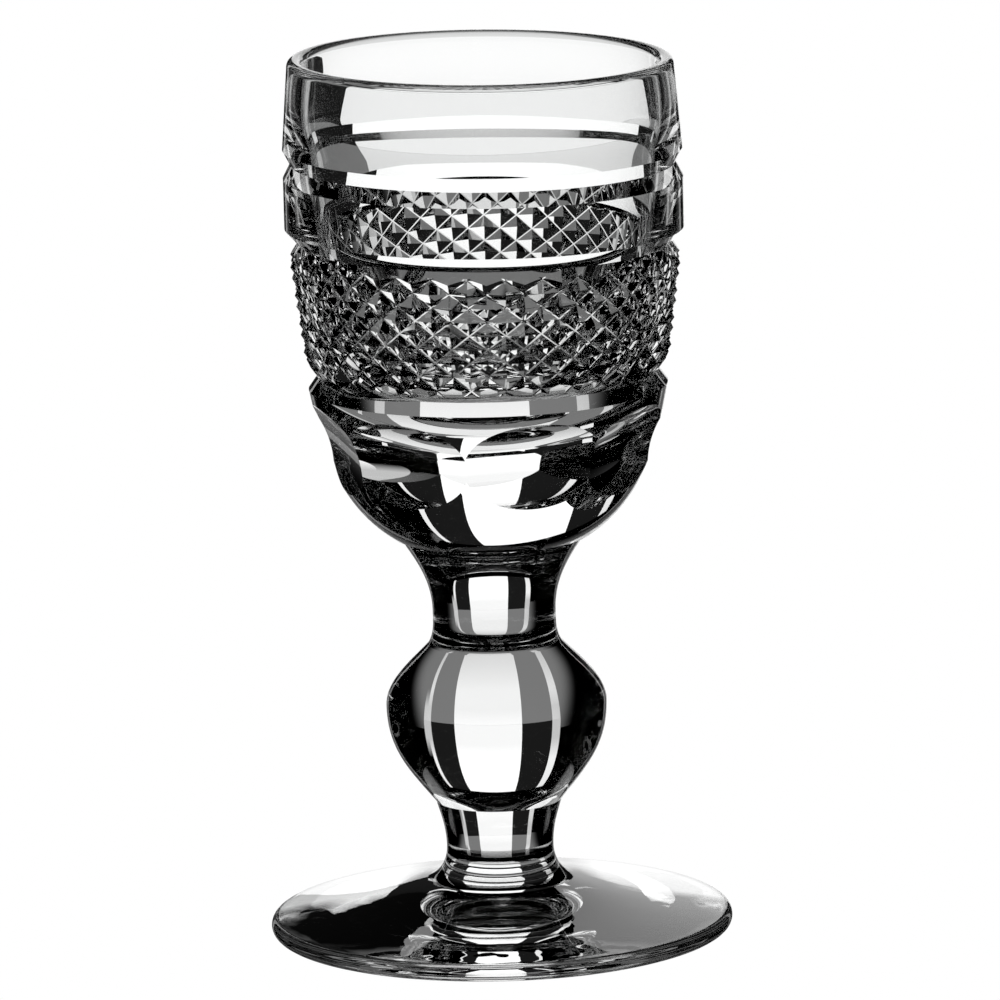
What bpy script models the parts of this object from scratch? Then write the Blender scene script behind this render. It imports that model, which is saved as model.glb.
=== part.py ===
"""Stemmed liqueur glass in cut crystal: five gathers of clear glass, shaped one by one and fused in line.

Metres, +Z up. The origin is the middle of the foot, on the table that the glass stands on.
"""

import math

import bmesh
import bpy
from mathutils import Matrix, Vector
from mathutils.geometry import interpolate_bezier

# Seams between the gathers
SEAM_GAP = 0.0003
FOOT_SEAM_RADIUS = 0.0079
SHANK_SEAM_RADIUS = 0.0068
KNOP_SEAM_RADIUS = 0.0072
BOWL_SEAM_RADIUS = 0.0100

# Foot
FOOT_RADIUS = 0.0249
FOOT_EDGE = 0.0019
FOOT_HEIGHT = 0.0056
FOOT_HOLLOW_RADIUS = 0.0185
FOOT_HOLLOW_DEPTH = 0.0008

# Shank, from the foot to the knop
SHANK_LENGTH = 0.0087
SHANK_WAIST_RADIUS = 0.00576
SHANK_WAIST_HEIGHT = 0.0035

# Knop, the heavy swelling of the stem
KNOP_LENGTH = 0.0172
KNOP_RADIUS = 0.01187
KNOP_BELLY_HEIGHT = 0.0106

# Collar, from the knop to the bowl
COLLAR_LENGTH = 0.0119
COLLAR_WAIST_RADIUS = 0.00662
COLLAR_WAIST_HEIGHT = 0.0035

# Bowl, from its base up to the lip
BASE_STEP = 0.0006
LOWER_BOWL_HEIGHT = 0.0163
SHOULDER_RADIUS = 0.0192
FOOTWARD_GROOVE_HEIGHT = 0.00345
DIAMOND_FOOT_RADIUS = 0.0196
DIAMOND_HEAD_RADIUS = 0.02095
DIAMOND_ROW_HEIGHT = 0.0015
MIDDLE_GROOVE_HEIGHT = 0.0032
PLAIN_BAND_HEIGHT = 0.00535
BODY_RADIUS = 0.0213
UPPER_GROOVE_HEIGHT = 0.00315
RIM_BAND_HEIGHT = 0.00965
RIM_RADIUS = 0.0206
LIP_THICKNESS = 0.00169
CAVITY_RADIUS = 0.01916
CAVITY_BELLY_HEIGHT = 0.0430
BASE_THICKNESS = 0.0132

# Cutting
UPPER_GROOVE_DEPTH = 0.0008
MIDDLE_GROOVE_DEPTH = 0.00105
FOOTWARD_GROOVE_DEPTH = 0.0010
MIDWAY = 0.5
FOOTWARD_GROOVE_FALL = 0.6
DIAMOND_DEPTH = 0.00075
DIAMONDS_ROUND = 32
DIAMOND_ROWS = 7
OLIVES = 8
OLIVE_DROP = 0.0062
OLIVE_DEPTH = 0.0017
OLIVE_WHEEL_ROUNDING = 0.0108
OLIVE_WHEEL_RADIUS = 0.400
OLIVE_WHEEL_THICKNESS = 0.0070
CUT_TURN = math.radians(-95.5)
OLIVE_TURN = math.radians(-2)

# Colourless lead crystal
CRYSTAL_TINT = (0.96, 0.975, 0.97, 1)
CRYSTAL_ROUGHNESS = 0.02
CRYSTAL_REFRACTION = 1.54

# Leans of the profiles in degrees from straight down, towards the axis if positive
FOOT_CONE_LEAN = -73
FOOT_EDGE_LEAN = -78
FOOT_HOLLOW_LEAN = -84
SHANK_FLARE_LEAN = -66
SHANK_HEAD_LEAN = 17
KNOP_HEEL_LEAN = 39
KNOP_SHOULDER_LEAN = -43
COLLAR_FLARE_LEAN = -30
COLLAR_CUP_LEAN = 34
BOWL_BASE_LEAN = 57
BOWL_SHOULDER_LEAN = 11
MOUTH_LEAN = -2.3
CAVITY_LEAN = 5
UPRIGHT = 0
LEVEL_IN = 90
LEVEL_OUT = -90

# Fullness of the curves between two leans
FULLNESS = 0.37
CAVITY_FULLNESS = 0.50
KNOP_HEEL_FULLNESS = 0.40
KNOP_SHOULDER_FULLNESS = 0.31

# How finely the round surfaces are drawn
COLUMNS = 2 * DIAMONDS_ROUND
STEM_COLUMNS = 40
CURVE_POINTS = 7
MOUTH_POINTS = 5
CAVITY_POINTS = 11
EDGE_POINTS = 6
WHEEL_COLUMNS = 48
WHEEL_RINGS = 24
MERGE = 1e-6
SHARP = math.radians(24)

# Heights of the seams and of the cut bands
FOOT_SEAM = FOOT_HEIGHT
SHANK_SEAM = FOOT_SEAM + SHANK_LENGTH
KNOP_SEAM = SHANK_SEAM + KNOP_LENGTH
BOWL_SEAM = KNOP_SEAM + COLLAR_LENGTH
DIAMOND_BAND_HEIGHT = DIAMOND_ROWS * DIAMOND_ROW_HEIGHT


def heading(lean):
    """The way down a profile, leaning towards the axis by an angle, or away from it if negative."""
    return Vector((-math.sin(lean), 0, -math.cos(lean)))


def curve(start, leave, end, arrive, fullness=FULLNESS, points=CURVE_POINTS):
    """Profile points from start down to end, leaving and arriving at the given leans."""
    first = Vector((start[0], 0, start[1]))
    last = Vector((end[0], 0, end[1]))
    reach = fullness * (last - first).length
    away = first + reach * heading(math.radians(leave))
    back = last - reach * heading(math.radians(arrive))
    return [(p.x, p.z) for p in interpolate_bezier(first, away, back, last, points)]


def turned(profile, columns=STEM_COLUMNS):
    """A closed body of revolution from a profile of radius and height that starts and ends on the axis."""
    body = bmesh.new()
    points = [body.verts.new((radius, 0, height)) for radius, height in profile]
    lines = [body.edges.new(pair) for pair in zip(points, points[1:])]
    bmesh.ops.spin(
        body, geom=points + lines, axis=(0, 0, 1), angle=math.tau, steps=columns, use_merge=True
    )
    bmesh.ops.remove_doubles(body, verts=body.verts, dist=MERGE)
    bmesh.ops.recalc_face_normals(body, faces=body.faces)
    return body


def clear_glass(name):
    """Colourless crystal, polished bright."""
    material = bpy.data.materials.new(name)
    material.use_nodes = True
    shader = material.node_tree.nodes["Principled BSDF"]
    shader.inputs["Base Color"].default_value = CRYSTAL_TINT
    shader.inputs["Metallic"].default_value = 0
    shader.inputs["Roughness"].default_value = CRYSTAL_ROUGHNESS
    shader.inputs["IOR"].default_value = CRYSTAL_REFRACTION
    shader.inputs["Transmission Weight"].default_value = 1
    return material


def gather(name, body, height, glass):
    """Turns a finished mesh into a named piece standing at a height above the table."""
    mesh = bpy.data.meshes.new(name)
    body.to_mesh(mesh)
    body.free()
    mesh.shade_smooth()
    mesh.set_sharp_from_angle(angle=SHARP)
    mesh.materials.append(clear_glass(name + "_crystal"))
    piece = bpy.data.objects.new(name, mesh)
    piece.location.z = height
    piece.parent = glass
    bpy.context.scene.collection.objects.link(piece)
    return piece


def foot(glass):
    """A low cone with a rounded edge, ground hollow below so that it stands on a flat ring."""
    top = FOOT_SEAM - SEAM_GAP / 2
    rounding = FOOT_EDGE / 2
    edge_middle = FOOT_RADIUS - rounding
    cone = curve((FOOT_SEAM_RADIUS, top), FOOT_CONE_LEAN, (edge_middle, FOOT_EDGE), FOOT_EDGE_LEAN)
    edge = []
    for step in range(1, EDGE_POINTS):
        turn = math.pi * step / EDGE_POINTS
        edge.append((edge_middle + rounding * math.sin(turn), rounding + rounding * math.cos(turn)))
    ring = [(edge_middle, 0), (FOOT_HOLLOW_RADIUS, 0)]
    hollow = curve((0, FOOT_HOLLOW_DEPTH), LEVEL_OUT, (FOOT_HOLLOW_RADIUS, 0), FOOT_HOLLOW_LEAN)
    profile = [(0, top)] + cone + edge + ring + hollow[-2::-1]
    return gather("foot", turned(profile, COLUMNS), 0, glass)


def shank(glass):
    """The short lower stem, drawn in to a waist and flared where it meets the foot."""
    bottom = SEAM_GAP / 2
    top = SHANK_LENGTH - SEAM_GAP / 2
    waist = (SHANK_WAIST_RADIUS, SHANK_WAIST_HEIGHT)
    upper = curve((SHANK_SEAM_RADIUS, top), SHANK_HEAD_LEAN, waist, UPRIGHT)
    lower = curve(waist, UPRIGHT, (FOOT_SEAM_RADIUS, bottom), SHANK_FLARE_LEAN)
    profile = [(0, top)] + upper + lower[1:] + [(0, bottom)]
    return gather("shank", turned(profile), FOOT_SEAM, glass)


def knop(glass):
    """An inverted pear shape, widest above its middle, with a crease at each seam."""
    bottom = SEAM_GAP / 2
    top = KNOP_LENGTH - SEAM_GAP / 2
    belly = (KNOP_RADIUS, KNOP_BELLY_HEIGHT)
    upper = curve((KNOP_SEAM_RADIUS, top), KNOP_SHOULDER_LEAN, belly, UPRIGHT, KNOP_SHOULDER_FULLNESS)
    lower = curve(belly, UPRIGHT, (SHANK_SEAM_RADIUS, bottom), KNOP_HEEL_LEAN, KNOP_HEEL_FULLNESS)
    profile = [(0, top)] + upper + lower[1:] + [(0, bottom)]
    return gather("knop", turned(profile), SHANK_SEAM, glass)


def collar(glass):
    """The short upper stem, spreading from a waist into a cup under the bowl."""
    bottom = SEAM_GAP / 2
    top = COLLAR_LENGTH - SEAM_GAP / 2
    waist = (COLLAR_WAIST_RADIUS, COLLAR_WAIST_HEIGHT)
    upper = curve((BOWL_SEAM_RADIUS, top), COLLAR_CUP_LEAN, waist, UPRIGHT)
    lower = curve(waist, UPRIGHT, (KNOP_SEAM_RADIUS, bottom), COLLAR_FLARE_LEAN)
    profile = [(0, top)] + upper + lower[1:] + [(0, bottom)]
    return gather("collar", turned(profile), KNOP_SEAM, glass)


def groove(upper, lower, depth, fall=MIDWAY):
    """The bottom of a mitre groove, a share of the way down it and below the narrower of its edges."""
    bottom = upper[1] + fall * (lower[1] - upper[1])
    return [(min(upper[0], lower[0]) - depth, bottom)]


def point_diamonds(body, head):
    """Lifts alternate crossings of the band's grid to points, and folds each square along its groove.

    The band is turned at the bottoms of its grooves. Its rows are counted down from the head.
    """
    crossings = set()
    points = set()
    for vertex in body.verts:
        row = round((head - vertex.co.z) / DIAMOND_ROW_HEIGHT)
        off_row = abs(head - row * DIAMOND_ROW_HEIGHT - vertex.co.z)
        radius = vertex.co.xy.length
        outside = radius > DIAMOND_FOOT_RADIUS - 2 * DIAMOND_DEPTH
        if not (0 <= row <= DIAMOND_ROWS and off_row < MERGE and outside):
            continue
        column = round(math.atan2(vertex.co.y, vertex.co.x) / math.tau * COLUMNS)
        if (row + column) % 2:
            grown = (radius + DIAMOND_DEPTH) / radius
            vertex.co.x *= grown
            vertex.co.y *= grown
            points.add(vertex)
        else:
            crossings.add(vertex)
    for face in list(body.faces):
        fold = [vertex for vertex in face.verts if vertex in crossings]
        if len(fold) == 2 and sum(vertex in points for vertex in face.verts) == 2:
            bmesh.utils.face_split(face, *fold)


def olive_cutter(number, surface, lean, bowl):
    """The part of a rounded wheel that grinds one oval hollow into the lower bowl."""
    across = math.sqrt(OLIVE_WHEEL_RADIUS * OLIVE_WHEEL_THICKNESS)
    upright = math.sqrt(OLIVE_WHEEL_ROUNDING * OLIVE_WHEEL_THICKNESS)
    out = Vector((math.cos(lean), 0, -math.sin(lean)))
    middle = Vector((surface[0], 0, surface[1])) + (OLIVE_WHEEL_THICKNESS - OLIVE_DEPTH) * out
    wheel = bmesh.new()
    bmesh.ops.create_uvsphere(wheel, u_segments=WHEEL_COLUMNS, v_segments=WHEEL_RINGS, radius=1)
    bmesh.ops.scale(wheel, verts=wheel.verts, vec=(OLIVE_WHEEL_THICKNESS, upright, across))
    bmesh.ops.rotate(wheel, verts=wheel.verts, matrix=Matrix.Rotation(math.pi / 2, 3, "X"))
    bmesh.ops.rotate(wheel, verts=wheel.verts, matrix=Matrix.Rotation(lean, 3, "Y"))
    bmesh.ops.translate(wheel, verts=wheel.verts, vec=middle)
    mesh = bpy.data.meshes.new("olive_cutter")
    wheel.to_mesh(mesh)
    wheel.free()
    cutter = bpy.data.objects.new("olive_cutter_" + str(number), mesh)
    cutter.rotation_euler.z = OLIVE_TURN + math.tau * (number + MIDWAY) / OLIVES
    cutter.parent = bowl
    cutter.hide_render = True
    cutter.display_type = "WIRE"
    bpy.context.scene.collection.objects.link(cutter)
    cut = bowl.modifiers.new("olive " + str(number), "BOOLEAN")
    cut.operation = "DIFFERENCE"
    cut.solver = "EXACT"
    cut.object = cutter


def bowl(glass):
    """A thick bucket bowl: rim band, plain band, diamonds, and a round base cut with olives.

    A mitre groove runs above the plain band, above the diamonds and below them.
    """
    base = SEAM_GAP / 2
    shoulder = LOWER_BOWL_HEIGHT
    diamond_foot = shoulder + FOOTWARD_GROOVE_HEIGHT
    diamond_head = diamond_foot + DIAMOND_BAND_HEIGHT
    plain_foot = diamond_head + MIDDLE_GROOVE_HEIGHT
    plain_head = plain_foot + PLAIN_BAND_HEIGHT
    rim_foot = plain_head + UPPER_GROOVE_HEIGHT
    rim = rim_foot + RIM_BAND_HEIGHT

    rounding = LIP_THICKNESS / 2
    lip_middle = RIM_RADIUS - rounding
    lip = []
    for step in range(1, EDGE_POINTS):
        turn = math.pi * step / EDGE_POINTS
        lip.append((lip_middle - rounding * math.cos(turn), rim - rounding + rounding * math.sin(turn)))
    mouth = (lip_middle - rounding, rim - rounding)
    belly = (CAVITY_RADIUS, CAVITY_BELLY_HEIGHT)
    bottom = (0, BASE_THICKNESS)
    cavity = curve(mouth, MOUTH_LEAN, belly, CAVITY_LEAN, points=MOUTH_POINTS)
    cavity += curve(belly, CAVITY_LEAN, bottom, LEVEL_IN, CAVITY_FULLNESS, CAVITY_POINTS)[1:]

    rim_band = [(RIM_RADIUS, rim - rounding), (BODY_RADIUS, rim_foot)]
    plain_band = [(BODY_RADIUS, plain_head), (BODY_RADIUS, plain_foot)]
    diamonds = []
    for row in range(DIAMOND_ROWS + 1):
        share = row / DIAMOND_ROWS
        outer = DIAMOND_HEAD_RADIUS + share * (DIAMOND_FOOT_RADIUS - DIAMOND_HEAD_RADIUS)
        diamonds.append((outer - DIAMOND_DEPTH, diamond_head - row * DIAMOND_ROW_HEIGHT))
    heel = (BOWL_SEAM_RADIUS + BASE_STEP, base)
    lower_bowl = curve((SHOULDER_RADIUS, shoulder), BOWL_SHOULDER_LEAN, heel, BOWL_BASE_LEAN)

    profile = cavity[::-1] + lip + rim_band
    profile += groove(rim_band[-1], plain_band[0], UPPER_GROOVE_DEPTH) + plain_band
    profile += groove(plain_band[-1], (DIAMOND_HEAD_RADIUS, diamond_head), MIDDLE_GROOVE_DEPTH) + diamonds
    foot_edge = (DIAMOND_FOOT_RADIUS, diamond_foot)
    profile += groove(foot_edge, lower_bowl[0], FOOTWARD_GROOVE_DEPTH, FOOTWARD_GROOVE_FALL)
    profile += lower_bowl + [(0, base)]
    body = turned(profile, COLUMNS)
    point_diamonds(body, diamond_head)
    piece = gather("bowl", body, BOWL_SEAM, glass)
    piece.rotation_euler.z = CUT_TURN

    level = shoulder - OLIVE_DROP
    above = min((p for p in lower_bowl if p[1] > level), key=lambda p: p[1])
    below = max((p for p in lower_bowl if p[1] <= level), key=lambda p: p[1])
    share = (level - below[1]) / (above[1] - below[1])
    surface = (below[0] + share * (above[0] - below[0]), level)
    lean = math.atan2(above[0] - below[0], above[1] - below[1])
    for number in range(OLIVES):
        olive_cutter(number, surface, lean, piece)
    return piece


for old in list(bpy.data.objects):
    bpy.data.objects.remove(old, do_unlink=True)

liqueur_glass = bpy.data.objects.new("liqueur_glass", None)
bpy.context.scene.collection.objects.link(liqueur_glass)
foot(liqueur_glass)
shank(liqueur_glass)
knop(liqueur_glass)
collar(liqueur_glass)
bowl(liqueur_glass)
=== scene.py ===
"""The liqueur glass as it looks: cut crystal on a pale table, with a lit panel behind it.

Metres and degrees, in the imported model's frame. The stem comes first, from the table up, then the bowl and
the set. A point of a profile is a radius and a height.
"""

import math

import bmesh
import bpy
from mathutils import Matrix, Vector
from mathutils.geometry import interpolate_bezier


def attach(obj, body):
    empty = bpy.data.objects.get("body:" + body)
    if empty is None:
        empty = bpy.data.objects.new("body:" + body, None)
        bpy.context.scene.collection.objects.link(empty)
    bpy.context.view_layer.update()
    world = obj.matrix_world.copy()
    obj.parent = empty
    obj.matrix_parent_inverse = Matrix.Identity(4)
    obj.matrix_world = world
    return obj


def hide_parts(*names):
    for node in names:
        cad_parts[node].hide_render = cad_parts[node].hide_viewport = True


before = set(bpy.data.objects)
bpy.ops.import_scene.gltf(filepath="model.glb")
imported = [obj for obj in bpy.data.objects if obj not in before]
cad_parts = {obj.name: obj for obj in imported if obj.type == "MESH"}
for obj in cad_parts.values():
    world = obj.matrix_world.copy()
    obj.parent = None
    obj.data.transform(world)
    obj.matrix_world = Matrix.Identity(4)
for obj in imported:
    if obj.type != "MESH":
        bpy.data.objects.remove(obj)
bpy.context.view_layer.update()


# Foot: a low cone of crystal, spread out hot and tooled round by hand, which leaves faint waves in it.
# Its edge is fire polished, and its underside is ground a little hollow, so that it stands on a ring.
FOOT_RADIUS = 0.0249
FOOT_EDGE = 0.0019
FOOT_EDGE_LEAN = -78
FOOT_EDGE_POINTS = 14
FOOT_SEAM = (0.0079, 0.0056)
FOOT_SEAM_LEAN = -73
FOOT_HOLLOW_RADIUS = 0.0185
FOOT_HOLLOW_DEPTH = 0.0008
FOOT_HOLLOW_LEAN = -84
FOOT_COLUMNS = 256
FOOT_WAVE_LENGTH = 0.0028
FOOT_WAVE_HEIGHT = 0.000010
CRYSTAL_COLOUR = (0.985, 0.99, 0.988, 1)
CRYSTAL_IOR = 1.54
BLOOM_ROUGHNESS = 0.006
BLOOM_SCALE = 900
LEVEL_IN = 90
LEVEL_OUT = -90
UPRIGHT = 0
FULLNESS = 0.37
SHORT_CURVE = 28
LONG_CURVE = 40
TOUCHING = 1e-6
SHARP = math.radians(15)
GLASS = 0
WELD = 1


def heading(lean):
    """The way down a profile, leaning towards the axis by an angle, or away from it if negative."""
    return Vector((-math.sin(math.radians(lean)), 0, -math.cos(math.radians(lean))))


def curve(start, leave, end, arrive, fullness=FULLNESS, points=SHORT_CURVE):
    """Profile points from start down to end, leaving and arriving at the given leans."""
    first = Vector((start[0], 0, start[1]))
    last = Vector((end[0], 0, end[1]))
    reach = fullness * (last - first).length
    away = first + reach * heading(leave)
    back = last - reach * heading(arrive)
    return [(p.x, p.z) for p in interpolate_bezier(first, away, back, last, points)]


def half_round(middle, height, rounding, side, points):
    """Profile points round a fire-polished edge, without its two ends."""
    turns = [math.pi * step / points for step in range(1, points)]
    if side == "out":
        return [(middle + rounding * math.sin(t), height + rounding * math.cos(t)) for t in turns]
    return [(middle - rounding * math.cos(t), height + rounding * math.sin(t)) for t in turns]


def spun(body, profile, columns):
    """Turns a profile once round the axis, into a body."""
    points = [body.verts.new((radius, 0, height)) for radius, height in profile]
    lines = [body.edges.new(pair) for pair in zip(points, points[1:])]
    bmesh.ops.spin(
        body, geom=points + lines, axis=(0, 0, 1), angle=math.tau, steps=columns, use_merge=True
    )


def turned(profile, columns):
    """A closed body from a profile that starts and ends on the axis."""
    body = bmesh.new()
    spun(body, profile, columns)
    bmesh.ops.remove_doubles(body, verts=body.verts, dist=TOUCHING)
    bmesh.ops.recalc_face_normals(body, faces=body.faces)
    return body


def weld(body, seam):
    """Marks the flat end of a body where it is fused to its neighbour, and light passes straight on."""
    radius, height = seam
    for face in body.faces:
        level = all(abs(v.co.z - height) < TOUCHING for v in face.verts)
        if level and all(v.co.xy.length < radius + TOUCHING for v in face.verts):
            face.material_index = WELD


def polish(body):
    """Smooth glass, with its edges kept crisp, and also the line where two finishes or cuts meet."""
    for face in body.faces:
        face.smooth = True
    for edge in body.edges:
        sides = edge.link_faces
        if len(sides) == 2:
            alike = sides[0].material_index == sides[1].material_index
            edge.smooth = alike and edge.calc_face_angle(0) < SHARP


class Finish:
    """A socket in a material's nodes. Sums on it add Math nodes, and node() adds any other kind."""

    def __init__(self, tree, socket=None):
        self.tree = tree
        self.socket = socket

    def node(self, kind, settings, sockets, output=0):
        made = self.tree.nodes.new(kind)
        for name, value in settings.items():
            setattr(made, name, value)
        for name, value in sockets.items():
            if isinstance(value, Finish):
                self.tree.links.new(value.socket, made.inputs[name])
            else:
                made.inputs[name].default_value = value
        return Finish(self.tree, made.outputs[output] if made.outputs else None)

    def sum(self, operation, first, second):
        return self.node("ShaderNodeMath", {"operation": operation}, {0: first, 1: second})

    def __add__(self, other):
        return self.sum("ADD", self, other)

    def __radd__(self, other):
        return self.sum("ADD", other, self)

    def __sub__(self, other):
        return self.sum("SUBTRACT", self, other)

    def __rsub__(self, other):
        return self.sum("SUBTRACT", other, self)

    def __mul__(self, other):
        return self.sum("MULTIPLY", self, other)

    def __rmul__(self, other):
        return self.sum("MULTIPLY", other, self)


def crystal(name, wave_length, wave_height):
    """Colourless lead crystal, polished bright, with the faint waves that hot working leaves."""
    material = bpy.data.materials.new(name)
    material.use_nodes = True
    material.node_tree.nodes.clear()
    glass = Finish(material.node_tree)
    place = glass.node("ShaderNodeTexCoord", {}, {}, "Object")
    waves = glass.node(
        "ShaderNodeTexNoise", {}, {"Vector": place, "Scale": 1 / wave_length, "Detail": 1.0}, "Fac"
    )
    bloom = glass.node(
        "ShaderNodeTexNoise", {}, {"Vector": place, "Scale": BLOOM_SCALE, "Detail": 3.0}, "Fac"
    )
    bump = glass.node(
        "ShaderNodeBump", {}, {"Height": waves, "Strength": 1.0, "Distance": wave_height}, "Normal"
    )
    shader = glass.node(
        "ShaderNodeBsdfPrincipled",
        {},
        {
            "Base Color": CRYSTAL_COLOUR,
            "Roughness": BLOOM_ROUGHNESS * bloom,
            "IOR": CRYSTAL_IOR,
            "Transmission Weight": 1.0,
            "Normal": bump,
        },
    )
    glass.node("ShaderNodeOutputMaterial", {}, {"Surface": shader})
    return material


def fused_end():
    """The unseen face inside a weld."""
    material = bpy.data.materials.new("fused_end")
    material.use_nodes = True
    material.node_tree.nodes["Principled BSDF"].inputs["Alpha"].default_value = 0
    return material


FUSED_END = fused_end()


def gather(name, body, material):
    """Makes a finished body the piece that is shown for the node of its name."""
    mesh = bpy.data.meshes.new(name + "_glass")
    body.to_mesh(mesh)
    body.free()
    mesh.materials.append(material)
    mesh.materials.append(FUSED_END)
    piece = bpy.data.objects.new(name + "_glass", mesh)
    bpy.context.scene.collection.objects.link(piece)
    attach(piece, "root")
    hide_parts(name)


edge_middle = FOOT_RADIUS - FOOT_EDGE / 2
cone = curve(FOOT_SEAM, FOOT_SEAM_LEAN, (edge_middle, FOOT_EDGE), FOOT_EDGE_LEAN, points=LONG_CURVE)
edge = half_round(edge_middle, FOOT_EDGE / 2, FOOT_EDGE / 2, "out", FOOT_EDGE_POINTS)
ring = [(edge_middle, 0), (FOOT_HOLLOW_RADIUS, 0)]
hollow = curve((0, FOOT_HOLLOW_DEPTH), LEVEL_OUT, (FOOT_HOLLOW_RADIUS, 0), FOOT_HOLLOW_LEAN)
foot = turned([(0, FOOT_SEAM[1])] + cone + edge + ring + hollow[-2::-1], FOOT_COLUMNS)
weld(foot, FOOT_SEAM)
polish(foot)
gather("foot", foot, crystal("foot_crystal_waves", FOOT_WAVE_LENGTH, FOOT_WAVE_HEIGHT))


# Shank: the lower stem, a short drawn neck of solid crystal.
# It is fused to the foot while hot, and flares where the two meet.
SHANK_SEAM = (0.0068, 0.0143)
SHANK_SEAM_LEAN = 17
SHANK_WAIST = (0.00576, FOOT_SEAM[1] + 0.0035)
SHANK_FLARE_LEAN = -66
STEM_COLUMNS = 192
STEM_WAVE_LENGTH = 0.006
STEM_WAVE_HEIGHT = 0.000004


def stem_gather(name, head_seam, profile, foot_seam):
    """A solid length of the stem, fused to its neighbours at both ends."""
    body = turned([(0, head_seam[1])] + profile + [(0, foot_seam[1])], STEM_COLUMNS)
    weld(body, head_seam)
    weld(body, foot_seam)
    polish(body)
    gather(name, body, crystal(name + "_crystal_waves", STEM_WAVE_LENGTH, STEM_WAVE_HEIGHT))


upper = curve(SHANK_SEAM, SHANK_SEAM_LEAN, SHANK_WAIST, UPRIGHT)
lower = curve(SHANK_WAIST, UPRIGHT, FOOT_SEAM, SHANK_FLARE_LEAN)
stem_gather("shank", SHANK_SEAM, upper + lower[1:], FOOT_SEAM)


# Knop: the heavy swelling of the stem, an upturned pear of solid crystal.
# It is a gather of its own, with a crease at each weld.
KNOP_SEAM = (0.0072, 0.0315)
KNOP_SEAM_LEAN = -43
KNOP_HEAD_FULLNESS = 0.31
KNOP_BELLY = (0.01187, SHANK_SEAM[1] + 0.0106)
KNOP_FOOT_LEAN = 39
KNOP_FOOT_FULLNESS = 0.40

upper = curve(KNOP_SEAM, KNOP_SEAM_LEAN, KNOP_BELLY, UPRIGHT, KNOP_HEAD_FULLNESS, LONG_CURVE)
lower = curve(KNOP_BELLY, UPRIGHT, SHANK_SEAM, KNOP_FOOT_LEAN, KNOP_FOOT_FULLNESS, LONG_CURVE)
stem_gather("knop", KNOP_SEAM, upper + lower[1:], SHANK_SEAM)


# Collar: the upper stem, a neck of solid crystal.
# It spreads from its waist into a cup that is fused under the bowl and carries it.
BOWL_SEAM = (0.0100, 0.0434)
COLLAR_CUP_LEAN = 34
COLLAR_WAIST = (0.00662, KNOP_SEAM[1] + 0.0035)
COLLAR_FOOT_LEAN = -30

upper = curve(BOWL_SEAM, COLLAR_CUP_LEAN, COLLAR_WAIST, UPRIGHT, points=LONG_CURVE)
lower = curve(COLLAR_WAIST, UPRIGHT, KNOP_SEAM, COLLAR_FOOT_LEAN)
stem_gather("collar", BOWL_SEAM, upper + lower[1:], KNOP_SEAM)


# Bowl: blown thick and then cut on the wheel. Two mitre cuts that cross all round raise the diamonds,
# three grooves part the bands, and a broad wheel hollows eight olives into the round base.
# The cuts above the base lie a little out of level, and the olives a little off their places.
BOWL_HEEL = (0.0106, BOWL_SEAM[1])
BOWL_HEEL_LEAN = 57
SHOULDER = (0.0192, BOWL_SEAM[1] + 0.0163)
SHOULDER_LEAN = 11
LOWER_BOWL_POINTS = 48
DIAMOND_FOOT = (0.0196, SHOULDER[1] + 0.00345)
DIAMOND_HEAD = (0.02095, DIAMOND_FOOT[1] + 0.0105)
PLAIN_FOOT = (0.0213, DIAMOND_HEAD[1] + 0.0032)
PLAIN_HEAD = (0.0213, PLAIN_FOOT[1] + 0.00535)
RIM_FOOT = (0.0213, PLAIN_HEAD[1] + 0.00315)
RIM = (0.0206, RIM_FOOT[1] + 0.00965)
LIP_THICKNESS = 0.00169
LIP_POINTS = 18
MOUTH_LEAN = -2.3
MOUTH_POINTS = 24
CAVITY_BELLY = (0.01916, BOWL_SEAM[1] + 0.0430)
CAVITY_BELLY_LEAN = 5
CAVITY_BOTTOM = (0, BOWL_SEAM[1] + 0.0132)
CAVITY_FULLNESS = 0.50
CAVITY_POINTS = 64
UPPER_GROOVE_DEPTH = 0.0008
MIDDLE_GROOVE_DEPTH = 0.00105
FOOTWARD_GROOVE_DEPTH = 0.0010
FOOTWARD_GROOVE_FALL = 0.6
EVEN_FALL = 0.5
WHEEL_REACH = 2.0
DIAMOND_DEPTH = 0.00075
DIAMONDS_ROUND = 32
DIAMOND_ROWS = 7
DIAMOND_LIFT = 0.00075
MITRE_ROUNDING = 0.00008
RUN_OUT = 0.0006
OLIVES = 8
OLIVE_DROP = 0.0062
OLIVE_DEPTH = 0.0017
OLIVE_SLIPS = (-1, -2, -2, -2, 0, -2, -2, -5)
OLIVE_WHEEL_ROUNDING = 0.0108
OLIVE_WHEEL_RADIUS = 0.400
OLIVE_WHEEL_THICKNESS = 0.0070
OLIVE_WHEEL_COLUMNS = 160
OLIVE_WHEEL_RINGS = 96
OLIVE_CAP = 0.6
CUT_TURN = math.radians(-95.5)
CUT_TILT = math.radians(0.9)
BOWL_COLUMNS = 256
BOWL_WAVE_LENGTH = 0.008
BOWL_WAVE_HEIGHT = 0.000003
CUT = 2

lower_bowl = curve(SHOULDER, SHOULDER_LEAN, BOWL_HEEL, BOWL_HEEL_LEAN, points=LOWER_BOWL_POINTS)


def open_rings(body, top, bottom):
    """The open edges of a body that lie between two heights."""
    return [e for e in body.edges if e.is_boundary and bottom < e.verts[0].co.z < top]


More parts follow.
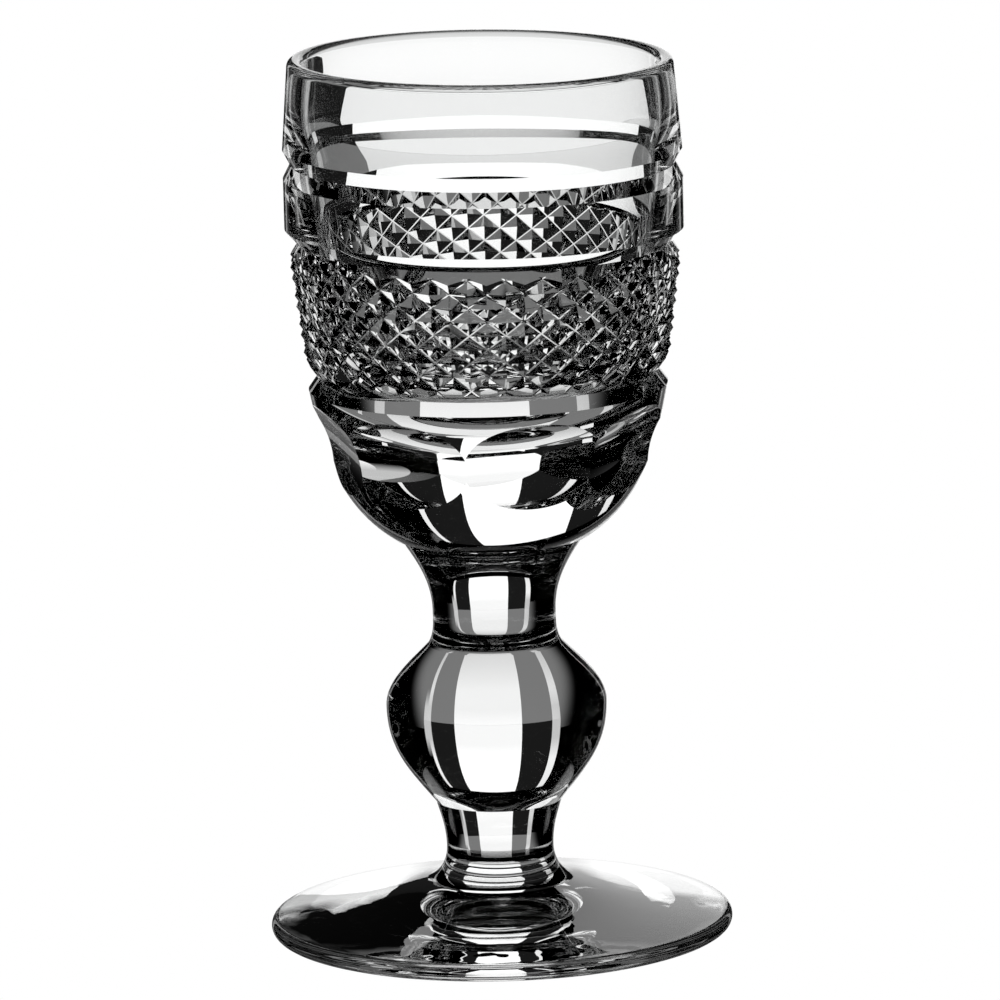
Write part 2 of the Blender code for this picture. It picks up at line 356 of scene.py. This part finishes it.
def lattice(body):
    """The diamonds: a turned band whose alternate crossings stand up as points, folded along the cuts.

    Two lines of crossings run out above and two below, into the grooves that trim them.
    """
    columns = 2 * DIAMONDS_ROUND
    row_height = (DIAMOND_HEAD[1] - DIAMOND_FOOT[1]) / DIAMOND_ROWS
    slope = (DIAMOND_HEAD[0] - DIAMOND_FOOT[0]) / (DIAMOND_HEAD[1] - DIAMOND_FOOT[1])
    top = DIAMOND_HEAD[1] + DIAMOND_LIFT
    rows = []
    for row in range(-1, DIAMOND_ROWS + 3):
        height = top - row * row_height
        rows.append((DIAMOND_HEAD[0] - DIAMOND_DEPTH - slope * (DIAMOND_HEAD[1] - height), height))
    spun(body, rows, columns)
    points = set()
    for vertex in body.verts:
        row = round((top - vertex.co.z) / row_height)
        column = round(math.atan2(vertex.co.y, vertex.co.x) / math.tau * columns)
        if (row + column) % 2:
            radius = vertex.co.xy.length
            vertex.co.xy *= (radius + DIAMOND_DEPTH) / radius
            points.add(vertex)
    cuts = []
    for face in list(body.faces):
        valleys = [v for v in face.verts if v not in points]
        cuts.append(bmesh.utils.face_split(face, *valleys)[1].edge)
    bmesh.ops.bevel(
        body, geom=cuts, offset=MITRE_ROUNDING, affect="EDGES", segments=2, profile=0.5, material=-1
    )


def run_out(start, edge):
    """A point a little past a band's edge, where a groove will take it away."""
    way = Vector(edge) - Vector(start)
    return tuple(Vector(edge) + RUN_OUT * way.normalized())


def blank():
    """The blown bowl with its diamonds, before the grooves and olives are cut."""
    body = bmesh.new()
    rounding = LIP_THICKNESS / 2
    lip_middle = RIM[0] - rounding
    lip_height = RIM[1] - rounding
    lip = half_round(lip_middle, lip_height, rounding, "up", LIP_POINTS)
    lip_inside = (lip_middle - rounding, lip_height)
    lip_outside = (RIM[0], lip_height)
    mouth = curve(lip_inside, MOUTH_LEAN, CAVITY_BELLY, CAVITY_BELLY_LEAN, points=MOUTH_POINTS)
    hold = curve(CAVITY_BELLY, CAVITY_BELLY_LEAN, CAVITY_BOTTOM, LEVEL_IN, CAVITY_FULLNESS, CAVITY_POINTS)
    cavity = mouth + hold[1:]
    rim_band = [lip_outside, run_out(lip_outside, RIM_FOOT)]
    plain_band = [run_out(PLAIN_FOOT, PLAIN_HEAD), run_out(PLAIN_HEAD, PLAIN_FOOT)]
    base = [run_out(lower_bowl[1], SHOULDER)] + lower_bowl[1:] + [BOWL_SEAM, (0, BOWL_SEAM[1])]
    lattice(body)
    spun(body, cavity[::-1] + lip + rim_band + plain_band, BOWL_COLUMNS)
    spun(body, base, BOWL_COLUMNS)
    bmesh.ops.remove_doubles(body, verts=body.verts, dist=TOUCHING)
    bmesh.ops.bridge_loops(body, edges=open_rings(body, PLAIN_HEAD[1], DIAMOND_HEAD[1]))
    bmesh.ops.bridge_loops(body, edges=open_rings(body, DIAMOND_FOOT[1], BOWL_SEAM[1]))
    bmesh.ops.recalc_face_normals(body, faces=body.faces)
    weld(body, BOWL_SEAM)
    bmesh.ops.rotate(body, verts=body.verts, matrix=Matrix.Rotation(CUT_TURN, 3, "Z"))
    return body


def groove_wheel(body, upper, lower, depth, fall=EVEN_FALL):
    """A ring with a mitred inner edge that runs from one band's edge to the next one's."""
    bottom = Vector((min(upper[0], lower[0]) - depth, upper[1] + fall * (lower[1] - upper[1])))
    clear = [bottom + WHEEL_REACH * (Vector(edge) - bottom) for edge in (upper, lower)]
    spun(body, [bottom, clear[0], clear[1], bottom], BOWL_COLUMNS)


def olive_wheel(body, number):
    """The part of a rounded wheel that grinds one oval hollow into the lower bowl."""
    level = SHOULDER[1] - OLIVE_DROP
    above = min((p for p in lower_bowl if p[1] > level), key=lambda p: p[1])
    below = max((p for p in lower_bowl if p[1] <= level), key=lambda p: p[1])
    share = (level - below[1]) / (above[1] - below[1])
    surface = Vector((below[0] + share * (above[0] - below[0]), 0, level))
    lean = math.atan2(above[0] - below[0], above[1] - below[1])
    out = Vector((math.cos(lean), 0, -math.sin(lean)))
    middle = surface + (OLIVE_WHEEL_THICKNESS - OLIVE_DEPTH) * out
    across = math.sqrt(OLIVE_WHEEL_RADIUS * OLIVE_WHEEL_THICKNESS)
    upright = math.sqrt(OLIVE_WHEEL_ROUNDING * OLIVE_WHEEL_THICKNESS)
    turn = CUT_TURN + math.tau * (number + 0.5) / OLIVES + math.radians(OLIVE_SLIPS[number])

    ball = bmesh.ops.create_uvsphere(
        body, u_segments=OLIVE_WHEEL_COLUMNS, v_segments=OLIVE_WHEEL_RINGS, radius=1
    )["verts"]
    edges = dict.fromkeys(e for v in ball for e in v.link_edges)
    faces = dict.fromkeys(f for v in ball for f in v.link_faces)
    whole = [*ball, *edges, *faces]
    kept = bmesh.ops.bisect_plane(
        body, geom=whole, plane_co=(-OLIVE_CAP, 0, 0), plane_no=(1, 0, 0), clear_outer=True
    )
    rim = [e for e in kept["geom_cut"] if isinstance(e, bmesh.types.BMEdge)]
    bmesh.ops.contextual_create(body, geom=rim)
    left = [part for part in kept["geom"] + kept["geom_cut"] if part.is_valid]
    wheel = list(dict.fromkeys(part for part in left if isinstance(part, bmesh.types.BMVert)))
    bmesh.ops.scale(body, verts=wheel, vec=(OLIVE_WHEEL_THICKNESS, upright, across))
    bmesh.ops.rotate(body, verts=wheel, matrix=Matrix.Rotation(math.pi / 2, 3, "X"))
    bmesh.ops.rotate(body, verts=wheel, matrix=Matrix.Rotation(lean, 3, "Y"))
    bmesh.ops.translate(body, verts=wheel, vec=middle)
    bmesh.ops.rotate(body, verts=wheel, matrix=Matrix.Rotation(turn, 3, "Z"))


def cut_away(body, wheels, mark):
    """Grinds the wheels' shape out of a body, marks the cut faces, and returns what is left."""
    for face in wheels.faces:
        face.material_index = mark
    made = []
    for name, shape in (("blank", body), ("wheels", wheels)):
        mesh = bpy.data.meshes.new(name)
        shape.to_mesh(mesh)
        shape.free()
        for _ in range(CUT + 1):
            mesh.materials.append(None)
        made.append(bpy.data.objects.new(name, mesh))
        bpy.context.scene.collection.objects.link(made[-1])
    cut = made[0].modifiers.new("cut", "BOOLEAN")
    cut.operation = "DIFFERENCE"
    cut.solver = "EXACT"
    cut.material_mode = "INDEX"
    cut.object = made[1]
    left = bmesh.new()
    left.from_object(made[0], bpy.context.evaluated_depsgraph_get())
    for done in made:
        bpy.data.objects.remove(done)
    return left


grooves = bmesh.new()
groove_wheel(grooves, RIM_FOOT, PLAIN_HEAD, UPPER_GROOVE_DEPTH)
groove_wheel(grooves, PLAIN_FOOT, DIAMOND_HEAD, MIDDLE_GROOVE_DEPTH)
groove_wheel(grooves, DIAMOND_FOOT, SHOULDER, FOOTWARD_GROOVE_DEPTH, FOOTWARD_GROOVE_FALL)
bmesh.ops.remove_doubles(grooves, verts=grooves.verts, dist=TOUCHING)
bmesh.ops.recalc_face_normals(grooves, faces=grooves.faces)
half_a_column_on = CUT_TURN + math.pi / BOWL_COLUMNS
bmesh.ops.rotate(grooves, verts=grooves.verts, matrix=Matrix.Rotation(half_a_column_on, 3, "Z"))
bowl = cut_away(blank(), grooves, CUT)

# Neighbouring olives run into each other, so every second one is cut first and the rest after them.
for first in range(2):
    olives = bmesh.new()
    for number in range(first, OLIVES, 2):
        olive_wheel(olives, number)
    bowl = cut_away(bowl, olives, CUT + first)
bmesh.ops.dissolve_degenerate(bowl, dist=TOUCHING, edges=bowl.edges)
polish(bowl)
for face in bowl.faces:
    if face.material_index >= CUT:
        face.material_index = GLASS
for vertex in bowl.verts:
    share = (vertex.co.z - SHOULDER[1]) / (DIAMOND_HEAD[1] - SHOULDER[1])
    vertex.co.z -= min(max(share, 0), 1) * math.tan(CUT_TILT) * vertex.co.x
gather("bowl", bowl, crystal("bowl_crystal_waves", BOWL_WAVE_LENGTH, BOWL_WAVE_HEIGHT))


# Set: a white table as glossy as acrylic, and a lit panel behind the glass between two dark boards, with
# a slit of light past each of them. The rig turns with the camera, as if the glass stood on a turntable.
BOARD_DISTANCE = 0.30
BOARD_HEIGHT = 0.22
BOARD_STEPS = 24
PANEL_LEFT = -8.7
PANEL_RIGHT = 15.6
SLIT_LEFT = (-25.0, -21.0)
SLIT_RIGHT = (26.5, 28.4)
SLIT_RIGHT_END = 30.5
PANEL_LIGHT = (1.05, 1.28)
BOARD_LIGHT = (0.011, 0.011)
SLIT_LIGHT = (0.6, 1.0)
FADING_LIGHT = (0.6, 0.0)
LIGHT_HEIGHTS = (0.04, 0.09)
TABLE_SIZE = 6.0
TABLE_DROP = 0.0001
# Painted light on the table: a soft glow, strongest before the panel, that fades away to the sides.
TABLE_GLOW = 0.2
GLOW_MIDDLE_RADIANS = 0.05
GLOW_EDGES_RADIANS = (0.38, 0.64)
# Painted light: a pool under the foot behind the stem, with a painted stem shadow straight behind it.
POOL_GLOW = 1.0
POOL_FRONT = (0.0025, 0.0050)
PAINTED_STEM_SHADOW_EDGES = (0.007, 0.010)
# Painted shadow of the foot: the table's glow and its mirror fade out under it.
FOOT_SHADE = (0.0235, 0.0265)
MIRROR_FROM_ABOVE = 0.05
MIRROR_AT_A_GLANCE = 0.87
WHITE = (1, 1, 1, 1)

rig = bpy.data.objects.new("light_rig", None)
bpy.context.scene.collection.objects.link(rig)


def ramp(value, edges, ends=(0, 1), kind="LINEAR"):
    """Runs from one end to the other while a value runs between two edges."""
    return value.node(
        "ShaderNodeMapRange",
        {"interpolation_type": kind},
        {
            "Value": value,
            "From Min": edges[0],
            "From Max": edges[1],
            "To Min": ends[0],
            "To Max": ends[1],
        },
    )


def lit_board(name, start, end, light):
    """A board bent round the table, from one angle to another, seen only through and in the glass.

    Its light has two strengths, one near its foot and one near its head.
    """
    body = bmesh.new()
    foot_of_board = body.verts.new((0, BOARD_DISTANCE, 0))
    head_of_board = body.verts.new((0, BOARD_DISTANCE, BOARD_HEIGHT))
    line = [foot_of_board, head_of_board, body.edges.new((foot_of_board, head_of_board))]
    bmesh.ops.rotate(body, verts=line[:2], matrix=Matrix.Rotation(math.radians(-start), 3, "Z"))
    bmesh.ops.spin(body, geom=line, axis=(0, 0, 1), angle=math.radians(start - end), steps=BOARD_STEPS)
    mesh = bpy.data.meshes.new(name)
    body.to_mesh(mesh)
    body.free()
    material = bpy.data.materials.new(name)
    material.use_nodes = True
    material.node_tree.nodes.clear()
    cloth = Finish(material.node_tree)
    place = cloth.node("ShaderNodeTexCoord", {"object": rig}, {}, "Object")
    up = cloth.node("ShaderNodeSeparateXYZ", {}, {"Vector": place}, "Z")
    strength = ramp(up, LIGHT_HEIGHTS, light)
    glow = cloth.node("ShaderNodeEmission", {}, {"Color": WHITE, "Strength": strength})
    cloth.node("ShaderNodeOutputMaterial", {}, {"Surface": glow})
    mesh.materials.append(material)
    shown = bpy.data.objects.new(name, mesh)
    shown.parent = rig
    shown.visible_camera = False
    bpy.context.scene.collection.objects.link(shown)


lit_board("panel", PANEL_LEFT, PANEL_RIGHT, PANEL_LIGHT)
lit_board("board_left", SLIT_LEFT[1], PANEL_LEFT, BOARD_LIGHT)
lit_board("board_right", PANEL_RIGHT, SLIT_RIGHT[0], BOARD_LIGHT)
lit_board("slit_left", SLIT_LEFT[0], SLIT_LEFT[1], SLIT_LIGHT)
lit_board("slit_right", SLIT_RIGHT[0], SLIT_RIGHT[1], SLIT_LIGHT)
lit_board("slit_right_edge", SLIT_RIGHT[1], SLIT_RIGHT_END, FADING_LIGHT)


def white_table():
    """White to the camera. The glass sees a painted soft glow on it before the panel, and sees it mirror the
    boards.

    Painted shadow darkens it and its mirror under the foot, but for a painted pool of light behind the stem
    on either side of a painted stem shadow.
    """
    material = bpy.data.materials.new("white_table")
    material.use_nodes = True
    material.node_tree.nodes.clear()
    acrylic = Finish(material.node_tree)
    place = acrylic.node("ShaderNodeTexCoord", {"object": rig}, {}, "Object")
    side = acrylic.node("ShaderNodeSeparateXYZ", {}, {"Vector": place}, "X")
    behind = acrylic.node("ShaderNodeSeparateXYZ", {}, {"Vector": place}, "Y")
    turn = acrylic.node("ShaderNodeMath", {"operation": "ARCTAN2"}, {0: side, 1: behind})
    off_panel = acrylic.node("ShaderNodeMath", {"operation": "ABSOLUTE"}, {0: turn - GLOW_MIDDLE_RADIANS})
    off_stem = acrylic.node("ShaderNodeMath", {"operation": "ABSOLUTE"}, {0: side})
    from_foot = acrylic.node("ShaderNodeVectorMath", {"operation": "LENGTH"}, {0: place}, "Value")
    # Painted light: the table glows softly before the panel, as if lit by it.
    glow = ramp(off_panel, GLOW_EDGES_RADIANS, (TABLE_GLOW, 0), "SMOOTHERSTEP")
    # Painted pool of light under the foot, with painted stem shadow along its middle.
    pool = POOL_GLOW * ramp(behind, POOL_FRONT) * ramp(off_stem, PAINTED_STEM_SHADOW_EDGES)
    # Painted foot shadow: clear is 0 under the foot and 1 outside it.
    clear = ramp(from_foot, FOOT_SHADE)
    glance = acrylic.node("ShaderNodeLayerWeight", {}, {"Blend": 0.5}, "Facing")
    # The mirror is darkened under the foot by the painted foot shadow.
    mirror = clear * (MIRROR_FROM_ABOVE + MIRROR_AT_A_GLANCE * glance)
    gloss = acrylic.node("ShaderNodeBsdfAnisotropic", {}, {"Color": mirror, "Roughness": 0.0})
    # The glass sees the painted glow outside the foot and the painted pool under it.
    soft_light = clear * glow + (1 - clear) * pool
    soft = acrylic.node("ShaderNodeEmission", {}, {"Color": WHITE, "Strength": soft_light})
    to_glass = acrylic.node("ShaderNodeAddShader", {}, {0: gloss, 1: soft})
    to_camera = acrylic.node("ShaderNodeEmission", {}, {"Color": WHITE, "Strength": 1.0})
    seen = acrylic.node("ShaderNodeLightPath", {}, {}, "Is Camera Ray")
    both = acrylic.node("ShaderNodeMixShader", {}, {0: seen, 1: to_glass, 2: to_camera})
    acrylic.node("ShaderNodeOutputMaterial", {}, {"Surface": both})
    return material


table = bmesh.new()
bmesh.ops.create_grid(table, x_segments=8, y_segments=8, size=TABLE_SIZE / 2)
table_mesh = bpy.data.meshes.new("table")
table.to_mesh(table_mesh)
table.free()
table_mesh.materials.append(white_table())
table_top = bpy.data.objects.new("table", table_mesh)
table_top.location.z = -TABLE_DROP
bpy.context.scene.collection.objects.link(table_top)

# The room is white behind the glass and dark in it, so that only the boards and table light the crystal.
world = bpy.data.worlds.new("white_room")
world.use_nodes = True
world.node_tree.nodes.clear()
room = Finish(world.node_tree)
seen = room.node("ShaderNodeLightPath", {}, {}, "Is Camera Ray")
sky = room.node("ShaderNodeBackground", {}, {"Color": WHITE, "Strength": seen})
room.node("ShaderNodeOutputWorld", {}, {"Surface": sky})
bpy.context.scene.world = world


# Camera: a long lens well above the rim, tilted down to the glass, with the rig kept behind the glass.
# Light passes through many walls and facets of the crystal, so it is followed a long way.
CAMERA_PLACE = (0, -0.9693, 0.2413)
CAMERA_DIP = 11.334
CAMERA_ROLL = -1.484
LENS = 332.2
SENSOR_WIDTH = 36
FRAME_SHIFT = 0.00859
SIGHT = 20
GLASS_BOUNCES = 40
MIRROR_BOUNCES = 24
WELD_BOUNCES = 64

lens = bpy.data.cameras.new("camera")
lens.lens = LENS
lens.sensor_width = SENSOR_WIDTH
lens.shift_x = FRAME_SHIFT
lens.clip_end = SIGHT
camera = bpy.data.objects.new("camera", lens)
pitch = Matrix.Rotation(math.radians(90 - CAMERA_DIP), 4, "X")
roll = Matrix.Rotation(math.radians(CAMERA_ROLL), 4, "Z")
camera.matrix_world = Matrix.Translation(CAMERA_PLACE) @ pitch @ roll
bpy.context.scene.collection.objects.link(camera)
face_camera = rig.constraints.new("LOCKED_TRACK")
face_camera.target = camera
face_camera.track_axis = "TRACK_NEGATIVE_Y"
face_camera.lock_axis = "LOCK_Z"

scene = bpy.context.scene
scene.camera = camera
scene.view_settings.view_transform = "Standard"
scene.cycles.max_bounces = GLASS_BOUNCES
scene.cycles.transmission_bounces = GLASS_BOUNCES
scene.cycles.glossy_bounces = MIRROR_BOUNCES
scene.cycles.transparent_max_bounces = WELD_BOUNCES
scene.cycles.caustics_reflective = False
scene.cycles.caustics_refractive = False
